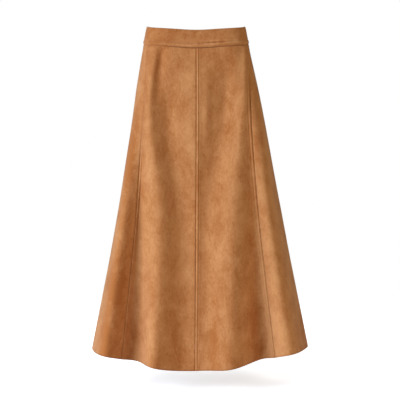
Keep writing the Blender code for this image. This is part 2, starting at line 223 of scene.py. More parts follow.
def brushed_nap():
    """Shader group: nap in clouds 40 mm wide, smudges of 12 mm, specks of 4 mm and fibres of
    half a millimetre.  Share of light nap = 0.5 + lift + the sum of weight * (noise - 0.5),
    where lift carries the nap's tone with painted light and shade; the groove mask then
    darkens it towards a painted shade colour.  Height is the fibre with a little of the smudges."""
    group, enter, leave = new_group(
        "brushed_nap",
        {"Vector": "Vector", "Light": "Color", "Dark": "Color", "Lift": "Float",
         "Groove": "Float", "Groove colour": "Color"},
        {"Colour": "Color", "Height": "Float"})
    stretch = node(group, "Mapping", {"Scale": NAP_STRETCH})
    total, noises = None, []
    for scale, detail, roughness, distortion, weight in NAP_NOISES:
        noise = node(group, "TexNoise", {"Scale": scale, "Detail": detail, "Roughness": roughness,
                                         "Distortion": distortion})
        part = node(group, "Math", {1: -0.5}, operation="ADD")
        grown = node(group, "Math", {1: weight, 2: 0.0}, operation="MULTIPLY_ADD")
        wire(group, (noise, "Fac", part, 0), (part, 0, grown, 0))
        if total:
            wire(group, (total, 0, grown, 2))
        total = grown
        noises.append(noise)
    clouds, smudge, speck, fibre = noises
    lifted = node(group, "Math", operation="ADD")
    share = node(group, "Math", {1: 0.5}, operation="ADD", use_clamp=True)
    nap_and_painted_light = node(group, "Mix", data_type="RGBA")
    painted_shade = node(group, "Mix", data_type="RGBA")
    height = node(group, "Math", {1: SMUDGE_RELIEF}, operation="MULTIPLY_ADD")
    wire(group, (enter, "Vector", fibre, "Vector"), (enter, "Vector", stretch, "Vector"),
         *((stretch, 0, noise, "Vector") for noise in (clouds, smudge, speck)),
         (total, 0, lifted, 0), (enter, "Lift", lifted, 1), (lifted, 0, share, 0),
         (share, 0, nap_and_painted_light, "Factor"), (enter, "Dark", nap_and_painted_light, "A"), (enter, "Light", nap_and_painted_light, "B"),
         (enter, "Groove", painted_shade, "Factor"), (nap_and_painted_light, "Result", painted_shade, "A"),
         (enter, "Groove colour", painted_shade, "B"), (painted_shade, "Result", leave, "Colour"),
         (smudge, "Fac", height, 0), (fibre, "Fac", height, 2), (height, 0, leave, "Height"))
    return group


NAP = brushed_nap()


def suede(name, light, dark, sheen, relief):
    """Suede cloth: the nap's colours on a matt cloth shader, its fibres as a fine bump.  The
    groove mask paints shade into the seams, and lift paints light and shade on the nap.
    """
    made, tree, shader = new_finish(name, {
        "Roughness": 0.95, "Specular IOR Level": 0.15, "Sheen Weight": sheen,
        "Sheen Roughness": SUEDE_SHEEN_SPREAD, "Sheen Tint": SUEDE_SHEEN_TINT})
    cloth = node(tree, "UVMap", uv_map="cloth")
    groove_shade = node(tree, "Attribute", attribute_name="groove_shade")
    lift = node(tree, "Attribute", attribute_name="lift")
    nap_and_painted_light = node(tree, "Group", {"Light": light, "Dark": dark, "Groove colour": SUEDE_PAINTED_SHADE},
               node_tree=NAP)
    bumps = node(tree, "Bump", {"Strength": relief, "Distance": 0.0006})
    wire(tree, (cloth, 0, nap_and_painted_light, "Vector"), (groove_shade, "Fac", nap_and_painted_light, "Groove"),
         (lift, "Fac", nap_and_painted_light, "Lift"), (nap_and_painted_light, "Colour", shader, "Base Color"),
         (nap_and_painted_light, "Height", bumps, "Height"), (bumps, 0, shader, "Normal"))
    return made


SUEDE = suede("suede", SUEDE_LIGHT, SUEDE_DARK, SUEDE_SHEEN, 0.55)
SUEDE_BACK = suede("suede_back", SUEDE_BACK_LIGHT, SUEDE_BACK_DARK, 0.1, 0.25)


# ------------------------------------------------------------------ the gores
# Six panels cut from suede cloth, narrow at the waist and flared to the hem.  They are sewn
# edge to edge; each front and side-back seam's allowance is pressed to one side and stitched
# down, which raises a soft rib there.  The hem is turned up inside.

CLOTH = 0.0016
GORE_GAP = 0.0001                     # between two gores' rolled-in edges
SKIRT_LENGTH = 0.820
HEM_TURN, HEM_EXTRA = 0.032, 0.0011
BAND_HEIGHT = 0.044
SEAM_FRONT_DIP, SEAM_BACK_DIP = 0.0095, 0.010
SEAM_OVAL = (0.1352, 0.0850, 0.0880)  # half width, depth at the front and at the back
SEAM_FRONT_DEPTH = SEAM_OVAL[1]
WAIST_SQUARENESS = 4.2
SAMPLES = 60                          # points worked out between two lines of a section
NEAR = 0.001                          # between the points that a slope is measured at

# Lines that run down the cloth round the skirt, from the centre front to the wearer's left:
# the seams, and the crest and valley of each hanging fold.  Bearing at the waist in degrees,
# place (x, y) in millimetres at three levels, and the hem's rise in millimetres.
LEVELS = (0.0, 0.14, 0.40, SKIRT_LENGTH)
LINES = (
    # name                  waist  hip         knee          hem           rise
    ("seam_centre_front",  0.5,  (1, -98),     (0, -120),    (-3, -126),   -6),
    ("front_dip_left",     38,   (76, -85),    (38, -116),   (38, -132),   -5),
    ("front_crest_left",   53,   (113, -92),   (95, -141),   (91, -154),   -2),
    ("front_valley_left",  62,   (128, -86),   (142, -119),  (164, -95),   8.5),
    ("seam_front_left",    69,   (137, -83),   (155, -119),  (203, -112),  13),
    ("side_crest_left",    79,   (154, -73),   (184, -121),  (244, -144),  15.5),
    ("side_left",          92,   (164, 5),     (211, 0),     (292, 2),     12),
    ("side_dip_left",      103,  (160, 38),    (201, 42),    (272, 50),    11),
    ("hind_crest_left",    113,  (156, 62),    (197, 82),    (268, 98),    9),
    ("seam_back_left",     126,  (136, 91),    (165, 106),   (215, 112),   6),
    ("back_valley_left",   134,  (118, 108),   (138, 118),   (178, 118),   4),
    ("back_crest_left",    149,  (78, 132),    (96, 160),    (116, 204),   1),
    ("seam_centre_back",   180,  (2, 137),     (4, 158),     (6, 192),     0),
    ("back_crest_right",   209,  (-74, 132),   (-92, 162),   (-106, 208),  1),
    ("back_valley_right",  225,  (-112, 110),  (-132, 120),  (-168, 124),  4),
    ("seam_back_right",    233,  (-129, 94),   (-158, 106),  (-205, 110),  6),
    ("hind_crest_right",   246,  (-149, 63),   (-183, 86),   (-255, 104),  8),
    ("side_dip_right",     257,  (-153, 38),   (-187, 46),   (-254, 56),   11),
    ("side_right",         268,  (-158, 5),    (-194, 0),    (-273, 0),    11.5),
    ("side_crest_right",   287,  (-151, -49),  (-180, -115), (-236, -148), 15),
    ("seam_front_right",   297,  (-134, -78),  (-150, -107), (-192, -116), 11.5),
    ("front_valley_right", 302,  (-129, -87),  (-140, -106), (-150, -100), 6.5),
    ("front_crest_right",  309,  (-118, -98),  (-96, -136),  (-114, -160), 2.5),
    ("front_dip_right",    321,  (-80, -89),   (-46, -118),  (-52, -131),  -6),
)
SEAMS = [i for i, line in enumerate(LINES) if line[0].startswith("seam")]
CENTRE_FRONT, FRONT_LEFT, BACK_LEFT, CENTRE_BACK, BACK_RIGHT, FRONT_RIGHT = range(6)

# The gores: the seam each starts at, whether its edge there and its far edge carry a
# topstitched rib, how much lighter its nap lies (partly the nap's own tone, partly painted
# light and shade), and the flat area that shows, in square metres, with the widest cut.
GORES = (
    # name               seam          ribs            nap    area    width
    ("front_gore_left",  CENTRE_FRONT, (True, True),   0.0,   0.1447, 0.241),
    ("side_gore_left",   FRONT_LEFT,   (False, False), 0.18,  0.2202, 0.372),
    ("back_gore_left",   BACK_LEFT,    (True, False),  -0.04, 0.1541, 0.259),
    ("back_gore_right",  CENTRE_BACK,  (False, True),  0.05,  0.1549, 0.262),
    ("side_gore_right",  BACK_RIGHT,   (False, False), -0.10, 0.2152, 0.374),
    ("front_gore_right", FRONT_RIGHT,  (True, False),  0.0,   0.1439, 0.240),
)

# How far the cloth stands out beside a seam, and how strong the painted shade in its groove is
# there.
RIB = (
    # mm from the seam, rise in mm, painted groove shade
    (0.0, -1.5, 0.5), (0.5, -0.8, 0.3), (1.1, 0.0, 0.05), (2.4, 0.85, 0.0), (3.8, 1.35, 0.0),
    (5.3, 1.0, 0.0), (6.3, 0.3, 0.05), (6.9, -0.1, 0.3), (7.5, 0.15, 0.08), (8.6, 0.55, 0.0),
    (10.4, 0.45, 0.0), (12.4, 0.1, 0.0), (14.0, 0.0, 0.0),
)
PLAIN_EDGE = (
    # mm from the seam, rise in mm, painted groove shade
    (0.0, -1.5, 0.5), (0.5, -0.9, 0.35), (1.1, -0.45, 0.1), (2.2, -0.1, 0.0), (3.8, 0.0, 0.0),
    (14.0, 0.0, 0.0),
)
STITCH_FROM_SEAM = 0.0069             # the topstitching, in the rib's groove
PUCKER_SPACING, PUCKER_HEIGHT, PUCKER_REACH = 0.0125, 0.00022, 0.007
# The painted shade in a seam's groove comes and goes along it at this spacing.
SEAM_SHADE_SPACING = 0.0205
FAINT_SEAM = ((0.12, 0.42), (0.30, 0.95))     # metres down, and how much of the groove's painted shade is left

# Near the waist seam and the hem: distances from the edge, and how far the cloth stands out
# there, how strong the painted shade along that edge is, or how far it rolls in.
WAIST_EDGE = ((0.0, 0.0008, 0.0022, 0.005), (-0.0016, -0.0008, -0.0001, 0.0))
WAIST_GROOVE = ((0.0, 0.0012, 0.0026), (1.0, 0.5, 0.0))
HEM_GROOVE = ((0.0, 0.0015, 0.0035), (0.5, 0.35, 0.0))
HEM_ROLL = ((0.0022, 0.0011, 0.0004, 0.0), (0.0, 0.00015, 0.0006, 0.0011))

WAIST_ROWS = (0.0, 0.0008, 0.0016, 0.0026)    # the first rows down a gore
ROW_STEP, HEM_ROWS, MIDDLE_COLUMNS = 0.0037, 9, 52

# Creases listed for each gore: where each starts and ends as a share across it and a
# distance down it, how it bows sideways, its half width and how far it stands out (a trough
# is negative), in millimetres.
CREASE_START = 0.009                  # they start from nothing at the waist seam
CREASES = {
    # across from, to   down from, to   bow, half, out
    CENTRE_FRONT: (
        (0.00, 0.00,  0.03,  0.80,  0.0,    11, 1.0),
        (0.88, 0.91,  -0.12, 0.27,  0.0,    10, 5.0),
        (0.62, 0.42,  0.00,  0.28,  0.0,    13, -2.5),
        (0.86, 0.87,  0.46,  1.00,  0.0,    14, -3.0),
        (0.24, 0.20,  0.30,  0.62,  0.0,    14, 1.4),
        (0.20, 0.17,  0.05,  0.27,  0.0,    11, 2.0),
    ),
    FRONT_LEFT: (
        (0.08, 0.08,  0.07,  0.33,  0.0,    14, -2.5),
        (0.07, 0.09,  0.30,  0.64,  0.0,    13, 2.0),
        (0.34, 0.28,  -0.05, 0.13,  0.0,    11, -2.2),
        (0.76, 0.70,  -0.05, 0.18,  0.0,    13, 2.4),
        (0.52, 0.50,  0.30,  0.62,  0.01,   16, -1.6),
        (0.38, 0.46,  0.10,  0.80,  0.0,    22, 2.4),
        (0.46, 0.50,  0.50,  1.10,  0.0,    26, 3.6),
        (0.53, 0.50,  0.08,  0.50,  0.015,  20, -6.0),
        (0.64, 0.58,  0.26,  0.99,  -0.01,  26, -10.0),
        (0.74, 0.79,  0.06,  0.56,  0.0,    21, 7.0),
        (0.86, 0.90,  0.45,  0.92,  0.0,    17, -4.0),
    ),
    BACK_LEFT: (
        (0.30, 0.36,  -0.05, 0.15,  0.0,    11, -3.0),
        (0.70, 0.66,  -0.05, 0.20,  0.0,    12, 2.4),
        (0.48, 0.42,  0.18,  0.50,  0.02,   15, -1.8),
        (0.62, 0.70,  0.42,  0.98,  0.0,    18, -4.5),
        (0.24, 0.18,  0.30,  0.74,  0.01,   16, 3.5),
    ),
    CENTRE_BACK: (
        (0.36, 0.32,  -0.05, 0.16,  0.0,    11, -2.6),
        (0.68, 0.74,  -0.05, 0.13,  0.0,    12, 2.2),
        (0.55, 0.62,  0.22,  0.56,  -0.02,  16, 1.8),
        (0.32, 0.26,  0.36,  0.94,  -0.01,  18, -5.0),
        (0.82, 0.85,  0.16,  0.60,  0.0,    15, -3.5),
    ),
    BACK_RIGHT: (
        (0.24, 0.30,  -0.05, 0.16,  0.0,    12, 2.2),
        (0.70, 0.74,  -0.05, 0.12,  0.0,    11, -2.4),
        (0.46, 0.50,  0.34,  0.66,  0.01,   16, -1.8),
        (0.41, 0.35,  0.24,  0.97,  0.01,   25, -9.5),
        (0.27, 0.22,  0.04,  0.50,  0.0,    21, 6.5),
        (0.56, 0.60,  0.10,  0.48,  0.01,   20, -6.0),
        (0.12, 0.15,  0.40,  0.86,  -0.01,  17, -4.5),
    ),
    FRONT_RIGHT: (
        (1.00, 1.00,  0.03,  0.80,  0.0,    11, 1.0),
        (0.38, 0.29,  -0.10, 0.19,  -0.01,  13, -7.0),
        (0.82, 0.78,  0.34,  0.62,  0.0,    14, -1.6),
        (0.52, 0.55,  0.08,  0.32,  0.0,    12, -1.6),
    ),
}

# Painted light and shade in patches on each gore's nap: the share of its width
# and the metres down at the patch's middle, how far it reaches across in mm and down in
# metres, and how much lighter it is.
PAINTED_LIGHT_AND_SHADE = {
    # across, down   reach across, down   lift
    CENTRE_FRONT: (
        (0.13, 0.17, 14, 0.10,  0.40),
        (0.24, 0.75, 16, 0.09,  -0.40),
        (0.33, 0.52, 12, 0.06,  0.15),
        (0.38, 0.02, 13, 0.03,  -0.30),
        (0.63, 0.58, 14, 0.13,  0.15),
        (0.65, 0.06, 12, 0.07,  -0.30),
        (0.70, 0.38, 12, 0.06,  0.30),
        (0.74, 0.22, 14, 0.05,  0.30),
        (0.78, 0.76, 16, 0.12,  -0.35),
        (0.81, 0.05, 13, 0.06,  0.45),
        (0.92, 0.72, 12, 0.16,  0.35),
        (0.95, 0.25, 10, 0.05,  -0.20),
        (0.97, 0.66, 8,  0.24,  0.40),
        (0.96, 0.13, 10, 0.06,  0.35),
    ),
    FRONT_LEFT: (
        (0.05, 0.74, 14, 0.09,  0.30),
        (0.03, 0.27, 10, 0.07,  -0.35),
        (0.15, 0.38, 16, 0.10,  0.30),
        (0.24, 0.26, 22, 0.11,  0.55),
        (0.38, 0.80, 40, 0.08,  -0.60),
    ),
    BACK_LEFT: (),
    CENTRE_BACK: (),
    BACK_RIGHT: (
        (0.84, 0.70, 22, 0.16,  -0.50),
        (0.85, 0.81, 40, 0.04,  -0.35),
        (0.88, 0.28, 18, 0.12,  -0.60),
        (0.98, 0.38, 10, 0.12,  0.55),
        (0.93, 0.62, 11, 0.07,  -0.40),
    ),
    FRONT_RIGHT: (
        (0.08, 0.61, 12, 0.08,  0.50),
        (0.06, 0.20, 10, 0.14,  -0.30),
        (0.28, 0.27, 10, 0.04,  0.35),
        (0.30, 0.02, 24, 0.04,  -0.60),
        (0.40, 0.11, 44, 0.025, -0.20),
        (0.52, 0.20, 10, 0.03,  -0.30),
        (0.78, 0.50, 12, 0.06,  0.30),
        (0.84, 0.77, 22, 0.05,  -0.40),
        (0.92, 0.55, 10, 0.12,  0.25),
        (0.93, 0.25, 12, 0.07,  0.20),
    ),
}


def waist_oval(angle, half, front, back):
    """Points of the waist at bearings from the centre front, turning to +X: a superellipse,
    radius = (|sin / half| ** n + |cos / depth| ** n) ** (-1 / n)."""
    depth = np.where(np.cos(angle) > 0, front, back)
    n = WAIST_SQUARENESS
    radius = (np.abs(np.sin(angle) / half) ** n + np.abs(np.cos(angle) / depth) ** n) ** (-1 / n)
    return radius[..., None] * np.stack([np.sin(angle), -np.cos(angle)], -1)


def hermite(t, start, end, start_slope, end_slope):
    """The cubic between two values with given slopes at its ends."""
    return ((1 + 2 * t) * (1 - t) ** 2 * start + t * (1 - t) ** 2 * start_slope
            + t * t * (3 - 2 * t) * end + t * t * (t - 1) * end_slope)


def lines_at(down):
    """Where every line of the cloth stands at distances below the waist seam, one row for
    each: cubics through the waist and the three levels, with smooth slopes between them."""
    bearing = np.radians([line[1] for line in LINES])
    waist = waist_oval(bearing, *SEAM_OVAL)
    stations = np.array([line[2:5] for line in LINES], float) / 1000
    stations = np.concatenate([waist[:, None], stations], 1).transpose(1, 0, 2)
    levels = np.asarray(LEVELS)
    slope = np.gradient(stations, levels, axis=0)
    i = np.clip(np.searchsorted(levels, down) - 1, 0, len(levels) - 2)
    width = (levels[i + 1] - levels[i])[:, None, None]
    t = ((down - levels[i]) / width[:, 0, 0])[:, None, None]
    return hermite(t, stations[i], stations[i + 1], slope[i] * width, slope[i + 1] * width)


def closed_curves(points):
    """Smooth closed curves through rows of points: the periodic cubic whose bend never jumps.
    Its parameter grows by the square root of each chord, which keeps short spans tame."""
    after = np.roll(points, -1, 1)
    step = np.sqrt(np.linalg.norm((after - points)[..., :2], axis=2))
    before = np.roll(step, 1, 1)
    rate = (after - points) / step[..., None]
    count = points.shape[1]
    row = np.arange(count)
    matrix = np.zeros((len(points), count, count))
    matrix[:, row, row - 1] = step
    matrix[:, row, row] = 2 * (step + before)
    matrix[:, row, (row + 1) % count] = before
    target = 3 * (step[..., None] * np.roll(rate, 1, 1) + before[..., None] * rate)
    slope = np.linalg.solve(matrix, target)[:, :, None]
    t = np.linspace(0, 1, SAMPLES, endpoint=False)[:, None]
    span = step[:, :, None, None]
    curve = hermite(t, points[:, :, None], after[:, :, None], slope * span,
                    np.roll(slope, -1, 1) * span)
    return curve.reshape(len(points), count * SAMPLES, -1)


class Sections:
    """Closed sections of the skirt at distances down it, and the distance along each."""

    def __init__(self, down):
        self.down = np.asarray(down, float)
        level = np.maximum(self.down, 0.0)
        rise = np.broadcast_to([line[5] / 1000 for line in LINES], (len(level), len(LINES)))
        curve = closed_curves(np.concatenate([lines_at(level), rise[..., None]], -1))
        self.curve = np.concatenate([curve[:, -SAMPLES:], curve, curve[:, :SAMPLES]], 1)
        step = np.linalg.norm(np.diff(self.curve[..., :2], axis=1), axis=2)
        self.along = np.concatenate([np.zeros((len(level), 1)), np.cumsum(step, 1)], 1)
        self.starts = self.along[:, [(1 + i) * SAMPLES for i in SEAMS + [len(LINES)]]]

    def width(self, gore):
        """The gore's width at each section, seam to seam."""
        return self.starts[:, gore + 1] - self.starts[:, gore]

    def at(self, gore, share, offset):
        """x, y and the hem's rise, a share of the way across a gore plus an offset."""
        target = self.starts[:, gore, None] + share * self.width(gore)[:, None] + offset
        return np.array([[np.interp(row, along, curve[:, axis]) for axis in range(3)]
                         for row, along, curve in zip(target, self.along, self.curve)]
                        ).transpose(0, 2, 1)


WAIST = Sections([0.0])


def waist_dip(xy, front_dip, back_dip):
    """How far the waist drops towards the centre front and the centre back."""
    toward = -xy[..., 1] / np.hypot(xy[..., 0], xy[..., 1])
    return np.where(toward > 0, front_dip, back_dip) * toward ** 2


def hang(sections, gore, share, offset):
    """The cloth's plain outer face.  Each line down it keeps its length, so a fold that
    stands out further lifts the hem a little: drop = sqrt(length squared - way out squared)."""
    section = sections.at(gore, share, offset)
    top = WAIST.at(gore, share, offset)[..., :2]
    xy, rise = section[..., :2], section[..., 2]
    away = np.linalg.norm(xy - top, axis=-1)
    level = sections.down[:, None]
    length = level - rise * np.clip(level / SKIRT_LENGTH, 0, 1) ** 2
    drop = np.sqrt(np.maximum(length ** 2 - away ** 2, 0)) * np.sign(level)
    z = -BAND_HEIGHT / 2 - waist_dip(top, SEAM_FRONT_DIP, SEAM_BACK_DIP) - drop
    return np.concatenate([xy, z[..., None]], -1)


def unit(rows):
    """Vectors scaled to a length of 1."""
    return rows / np.linalg.norm(rows, axis=-1, keepdims=True)


def outward(below, across):
    """Unit normals from the ways down the cloth and round it."""
    return unit(np.cross(below, across))


def bump(distance, half):
    """A soft hump: exp(-(distance / half) ** 2)."""
    return np.exp(-(distance / half) ** 2)


def creases(gore, share, down, width):
    """How far the cloth stands out from its plain face: each crease is a soft hump across a
    slightly bowed path, and fades in and out along it as a sine squared."""
    out = np.zeros(np.broadcast_shapes(share.shape, down.shape))
    for start, end, above, below, bow, half, height in CREASES[gore]:
        t = np.clip((down - above) / (below - above), 0, 1)
        path = start + (end - start) * t + bow * 4 * t * (1 - t)
        fade = np.sin(math.pi * t) ** 2 * np.clip(down / CREASE_START, 0, 1)
        out += height / 1000 * fade * bump((share - path) * width, half / 1000)
    return out


def painted_light_and_shade(gore, share, down, width):
    """How much lighter the painted light and shade make the nap: the sum of lift * bump
    across * bump down over the gore's patches."""
    out = np.zeros(np.broadcast_shapes(share.shape, down.shape))
    for across, at, half, reach, lift in PAINTED_LIGHT_AND_SHADE[gore]:
        out += lift * bump((share - across) * width, half / 1000) * bump(down - at, reach)
    return out


def beside_seam(distance, table, column):
    """A column of a seam's table, at distances from the seam."""
    table = np.array(table)
    return np.interp(distance * 1000, table[:, 0], table[:, column])


def pucker(distance, down, phase):
    """Small gathers that the topstitching draws up, at an uneven spacing along it."""
    wave = np.sin(2 * math.pi * down / PUCKER_SPACING + 1.7 * np.sin(31 * down + phase) + phase)
    return PUCKER_HEIGHT * wave * bump(distance, PUCKER_REACH)


def seam_shade_along(down, phase, seam):
    """How strong the painted shade in a seam's groove is along its length: 0.85 with an uneven
    wave of 0.4.  On the side-front seams it is faint over the hips."""
    uneven = 2.2 * np.sin(23 * down + phase) + phase
    depth = 0.85 + 0.4 * np.sin(2 * math.pi * down / SEAM_SHADE_SPACING + uneven)
    return depth * np.interp(down, *FAINT_SEAM) if seam in (FRONT_LEFT, FRONT_RIGHT) else depth


def waist_seam_shade(angle):
    """How strong the painted shade in the waist seam's groove is at a bearing: deep across the
    flat front and back, faint at the sides, as 0.55 + 0.45 * cos(2 * angle)."""
    return 0.55 + 0.45 * np.cos(2 * (angle - 0.1))


def gore_relief(gore, ribs, share, offset, sections):
    """How far the sewn cloth stands out, and how strong the painted shade in its grooves is."""
    width = sections.width(gore)[:, None]
    down = sections.down[:, None]
    from_start = share * width + offset
    out = creases(gore, from_start / width, down, width)
    groove_shade = np.zeros(out.shape)
    for ribbed, distance, phase, seam in zip(ribs, (from_start, width - from_start),
                                             (gore, gore + 0.5), (gore, (gore + 1) % 6)):
        table = RIB if ribbed else PLAIN_EDGE
        out += beside_seam(distance, table, 1) / 1000
        groove_shade = np.maximum(groove_shade, beside_seam(distance, table, 2) * seam_shade_along(down, phase, seam))
        if ribbed:
            out += pucker(distance - STITCH_FROM_SEAM, down, phase)
    out += np.interp(down, *WAIST_EDGE)
    # Painted shade along the waist seam, and below it along the hem's edge.
    top = WAIST.at(gore, share, offset)
    painted_shade = waist_seam_shade(np.arctan2(top[..., 0], -top[..., 1]))
    groove_shade = np.maximum(groove_shade, painted_shade * np.interp(down, *WAIST_GROOVE))
    return out, np.maximum(groove_shade, np.interp(SKIRT_LENGTH - down, *HEM_GROOVE))


def plain_face(gore, share, offset, down):
    """Points and outward normals on a gore's plain face, from points a little way apart."""
    here, above, under = Sections(down), Sections(down - NEAR), Sections(down + NEAR)
    across = hang(here, gore, share, offset + NEAR) - hang(here, gore, share, offset - NEAR)
    below = hang(under, gore, share, offset) - hang(above, gore, share, offset)
    return hang(here, gore, share, offset), outward(below, across)


def dressed(gore, ribs, share, offset, down):
    """Points, normals and painted groove shade of a gore's sewn outer face."""
    face, normal = plain_face(gore, share, offset, down)
    out, groove_shade = gore_relief(gore, ribs, share, offset, Sections(down))
    return face + normal * out[..., None], normal, groove_shade


def wall_faces(rows, columns):
    """Quads of a wall between two grids, the outer one first, with its four edges closed."""
    size = rows * columns
    index = np.arange(size).reshape(rows, columns)
    a, b, c, d = index[:-1, :-1], index[1:, :-1], index[1:, 1:], index[:-1, 1:]
    rim = np.concatenate([index[0, :-1], index[:-1, -1], index[-1, :0:-1], index[:0:-1, 0]])
    after = np.roll(rim, -1)
    return (np.stack([a, b, c, d], -1).reshape(-1, 4),
            np.stack([d, c, b, a], -1).reshape(-1, 4) + size,
            np.stack([rim, after, after + size, rim + size], -1)[:, ::-1])


def add_mesh(name, points, faces, materials, face_material=None, attributes=None, uv=None):
    """A smooth-shaded object at the origin from arrays of points and lists of faces."""
    mesh = bpy.data.meshes.new(name)
    mesh.from_pydata(points.reshape(-1, 3).tolist(), [],
                     [face for group in faces for face in group.tolist()])
    for finish in materials:
        mesh.materials.append(finish)
    if face_material is not None:
        mesh.polygons.foreach_set("material_index", face_material)
    if uv is not None:
        corner = np.empty(len(mesh.loops), np.int32)
        mesh.loops.foreach_get("vertex_index", corner)
        mesh.uv_layers.new(name="cloth").data.foreach_set("uv", uv.reshape(-1, 2)[corner].ravel())
    for label, values in (attributes or {}).items():
        made = mesh.attributes.new(label, "FLOAT", "POINT")
        made.data.foreach_set("value", values.ravel())
    mesh.shade_smooth()
    return add_object(name, mesh)


def add_shell(name, outer, inner, groove_shade, uv, nap_and_painted_light, **cut):
    """A closed shell of suede cloth in place of a solid: the nap outside and over its edges,
    the plain back inside.  The cut, its flat size, is not used."""
    lift = np.broadcast_to(nap_and_painted_light, (2,) + groove_shade.shape).copy()
    faces = wall_faces(*outer.shape[:2])
    finish = np.repeat([0, 1, 0], [len(group) for group in faces])
    piece = add_mesh("suede_" + name, np.stack([outer, inner]), faces, (SUEDE, SUEDE_BACK),
                     finish, {"groove_shade": np.stack([groove_shade, np.zeros(groove_shade.shape)]), "lift": lift},
                     np.stack([uv, uv]))
    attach(piece, "skirt")
    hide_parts(name)


def gore_rows():
    """Distances down a gore, the wall there and how far its edge rolls in: even rows, finer
    ones where the hem allowance ends, and three round the hem's fold."""
    fold = SKIRT_LENGTH - HEM_TURN
    roll_at = SKIRT_LENGTH - np.array(HEM_ROLL[0])
    body = np.linspace(WAIST_EDGE[0][-1], fold - 0.002, int(fold / ROW_STEP))
    hem = np.linspace(fold, roll_at[0], HEM_ROWS)
    down = np.concatenate([WAIST_ROWS, body, hem, roll_at[1:]])
    wall = np.where(down < fold, CLOTH, CLOTH + HEM_EXTRA)
    return down, wall, np.interp(down, roll_at, HEM_ROLL[1])


def gore_columns():
    """Columns across a gore: a share of its width and an offset, close together at the ribs.
    The middle ones start past the ribs."""
    near = np.array([row[0] for row in RIB]) / 1000
    middle = np.linspace(0, 1, MIDDLE_COLUMNS + 2)[1:-1]
    share = np.concatenate([0 * near, middle, 0 * near + 1])
    offset = np.concatenate([near + GORE_GAP / 2, near[-1] * (1 - 2 * middle),
                             -near[::-1] - GORE_GAP / 2])
    return share, offset


def make_gore(name, gore, ribs, nap_and_painted_light, area, width):
    """A gore's shell on the hanging surface, with its ribs, grooves, creases and hem."""
    share, offset = gore_columns()
    down, wall, roll = gore_rows()
    outer, normal, groove_shade = dressed(gore, ribs, share, offset, down)
    inner = outer - normal * (wall - roll)[:, None, None]
    outer = outer - normal * roll[:, None, None]
    reach = Sections(down).width(gore)[:, None]
    grain = gore % 3 / 2              # along the centre seam, or a side gore's middle
    uv = np.stack([(share - grain) * reach + offset + gore,
                   np.broadcast_to(down[:, None], groove_shade.shape)], -1)
    # Painted light and shade in patches, added to the gore's nap tone.
    nap_and_painted_light = nap_and_painted_light + painted_light_and_shade(gore, share + offset / reach, down[:, None], reach)
    add_shell(name, outer, inner, groove_shade, uv, nap_and_painted_light, flat=(width, SKIRT_LENGTH), area=area)


for row in GORES:
    make_gore(*row)


# ------------------------------------------------------------------ the waistband
# A straight band of doubled suede cloth over a stiffener, in three lengths: the front, and
# one each side of the zip.  It is puffed along the waist seam, topstitched a finger's width
# above it, and rolls softly over the top.

BAND_WALL, BAND_PROUD, BAND_SLIT = 0.0030, 0.0005, 0.0018
TOP_FRONT_DIP, TOP_BACK_DIP = 0.008, 0.008
TOP_OVAL = (0.1265, 0.078, 0.081)     # half width, depth at the front and at the back
BAND_STEP = 1.3                       # degrees between two columns
BAND_STITCH_HEIGHT = 0.0108
BAND_PAINTED_SHADE, BAND_SHADE_AT, BAND_SHADE_REACH = -0.32, -1.1, 0.6      # painted shade: darker near a bearing, radians
BAND_UV_START = 7                     # its nap's pattern, clear of the gores'
BAND_WAVE, BAND_WAVE_HEIGHT, BAND_WAVE_REACH = 0.00035, 0.026, 0.013
BAND_PUCKER, BAND_PUCKER_SPACING, BAND_PUCKER_REACH = 0.0003, 0.0135, 0.006
BAND_FOLD_REACH = 0.0022
BAND_PROFILE = (
    # mm above the seam, rise in mm, painted groove shade
    (44.0, -1.5, 0.1), (43.8, -0.7, 0.0), (43.2, -0.1, 0.0), (42.2, 0.4, 0.0),
    (41.0, 0.4, 0.05), (40.0, 0.1, 0.22), (39.0, 0.25, 0.05), (37.0, 0.4, 0.0),
    (34.0, 0.45, 0.0), (30.0, 0.5, 0.0), (26.0, 0.5, 0.0), (22.0, 0.5, 0.0),
    (18.0, 0.5, 0.0), (15.0, 0.5, 0.0), (13.0, 0.45, 0.0), (12.0, 0.35, 0.0),
    (11.3, 0.15, 0.15), (10.8, -0.05, 0.4), (10.3, 0.15, 0.15), (9.6, 0.5, 0.0),
    (8.4, 1.0, 0.0), (6.6, 1.4, 0.0), (4.6, 1.5, 0.0), (2.8, 1.3, 0.0),
    (1.6, 0.9, 0.1), (0.7, 0.3, 0.45), (0.2, -0.5, 0.8), (0.0, -1.4, 1.0),
)
# The folds that the topstitching draws up along the band: from and to which bearing in
# radians, mm above the seam at both, how far they stand out in mm, and how much lighter, as
# a painted highlight on a fold that stands out and painted shade on one that sinks.
BAND_FOLDS = (
    # bearing       mm above      out   lift
    (-0.95, 0.25,    5.0, 5.6,    0.15, 0.40),
    (0.12, 0.90,     7.6, 8.4,    0.40, 0.60),
    (0.70, 1.34,     11.0, 6.2,   0.40, 0.90),
    (0.20, 1.00,     14.8, 14.0,  0.30, 0.45),
    (0.20, 0.90,     11.8, 11.4,  -0.30, -0.75),
)
BANDS = (
    # name                   from  to   ends' gaps                            width
    ("waistband_front",       -90, 90,  (GORE_GAP / 2, GORE_GAP / 2),         0.394),
    ("waistband_back_left",   90,  180, (GORE_GAP / 2, BAND_SLIT / 2),        0.197),
    ("waistband_back_right",  180, 270, (BAND_SLIT / 2, GORE_GAP / 2),        0.197),
)


